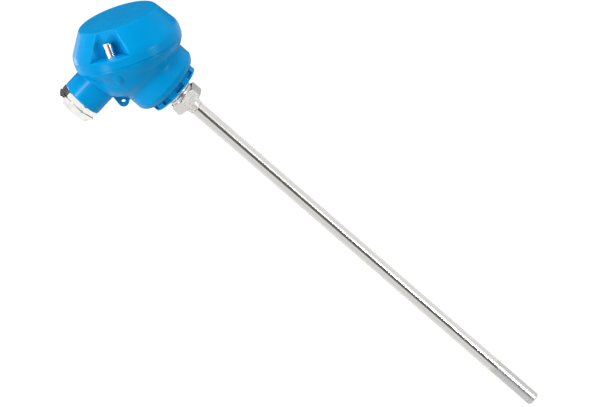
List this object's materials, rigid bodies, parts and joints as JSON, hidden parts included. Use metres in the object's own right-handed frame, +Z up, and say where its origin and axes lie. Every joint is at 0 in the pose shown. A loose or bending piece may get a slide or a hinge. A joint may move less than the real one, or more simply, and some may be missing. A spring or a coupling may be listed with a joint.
{
  "type": "resistance thermometer",
  "caption": "Temperature sensor with a blue hinged-lid connection head, a side cable gland, a hexagon fitting and a long straight stainless protection tube.",
  "frame": {"origin": "on the stem's axis where the protection tube leaves the weld shoulder of the hexagon fitting", "axes": "+Z up the stem towards the head, -X out through the cable gland, -Y towards the side with the lid screw"},
  "size_m": [0.1093, 0.0981, 0.4803],
  "materials": {
    "blue_paint": "smooth semi-gloss enamel over die-cast aluminium",
    "stainless": "fine drawn and turned, satin",
    "nickel": "nickel-plated brass, bright",
    "zinc_steel": "zinc-plated steel",
    "seal_rubber": "moulded, matt",
    "fibre": "vulcanised fibre, matt",
    "ceramic": null,
    "resin": "cast epoxy resin",
    "brass": "bare milled brass",
    "copper": null
  },
  "bodies": {
    "head": {"head_base": "blue_paint", "hinge_pin": "stainless", "gland_body": "nickel", "gland_washer": "fibre", "gland_seal": "seal_rubber", "gland_ring": "nickel", "hex_fitting": "stainless", "neck_seal": "seal_rubber", "protection_tube": "stainless", "tube_tip": "stainless", "insert_screws": "zinc_steel", "insert_springs": "stainless", "earth_screw": "zinc_steel", "earth_washer": "brass"},
    "lid": {"head_lid": "blue_paint", "lid_gasket": "seal_rubber"},
    "lid_screw": {"lid_screw": "nickel", "lid_screw_ring": "stainless"},
    "gland_nut": {"gland_nut": "nickel"},
    "insert": {"insert_flange": "stainless", "insert_bush": "stainless", "insert_sheath": "stainless", "sheath_seal": "resin", "insulation": "ceramic", "lead_wires": "copper", "sensing_element": "ceramic", "terminal_block": "ceramic", "terminal_clamps": "brass", "terminal_screws": "zinc_steel"}
  },
  "joints": [
    {"name": "lid_hinge", "type": "hinge", "parent": "head", "child": "lid", "pos_m": [0.01449, 0.04593, 0.06339], "axis": [-0.8204, 0.3584, 0.4455], "range_deg": [0, 110]},
    {"name": "lid_screw_slide", "type": "slide", "parent": "lid", "child": "lid_screw", "axis": [0.4772, 0, 0.8788], "range_m": [0, 0.006]},
    {"name": "gland_nut_turn", "type": "hinge", "parent": "head", "child": "gland_nut", "pos_m": [-0.0607, 0, 0.0727], "axis": [-1, 0, 0], "range_deg": [0, 720]},
    {"name": "insert_lift", "type": "slide", "parent": "head", "child": "insert", "axis": [0, 0, 1], "range_m": [0, 0.005], "stiffness_N_per_m": 1500, "springref_m": -0.005, "deforming": ["insert_springs"]}
  ]
}
